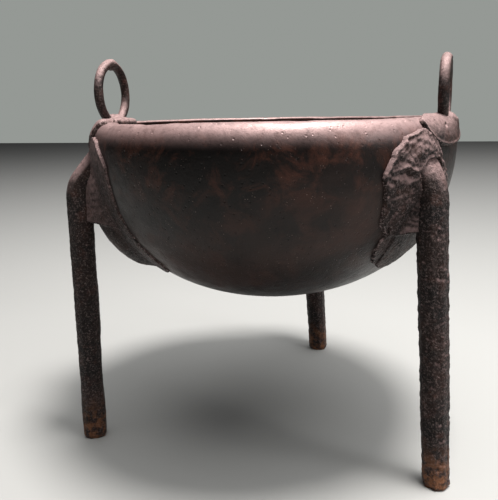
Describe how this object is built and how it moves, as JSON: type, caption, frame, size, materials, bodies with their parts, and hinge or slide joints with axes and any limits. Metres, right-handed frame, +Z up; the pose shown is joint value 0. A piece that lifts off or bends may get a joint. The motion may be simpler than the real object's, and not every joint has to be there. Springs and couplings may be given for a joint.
{
  "type": "tripod cauldron",
  "caption": "Round-bottomed cast bronze cauldron on three faceted rod legs, with two fixed upright ring handles on its rim.",
  "frame": {"origin": "on the floor under the centre of the round bowl", "axes": "+Z up, +X towards the right-hand ring handle, +Y towards the back leg"},
  "size_m": [0.386, 0.402, 0.4025],
  "materials": {
    "bowl_bronze": "dull brown patina",
    "leg_bronze": "dull red-brown patina",
    "pad_bronze": "rough pitted patina",
    "handle_bronze": "smooth dusty patina"
  },
  "bodies": {
    "root": {"bowl": "bowl_bronze", "leg_front_right": "leg_bronze", "leg_front_left": "leg_bronze", "leg_back": "leg_bronze", "pad_front_right": "pad_bronze", "pad_front_left": "pad_bronze", "pad_back": "pad_bronze", "ring_left": "handle_bronze", "ring_right": "handle_bronze", "saddle_left": "handle_bronze", "saddle_right": "handle_bronze"}
  },
  "joints": []
}
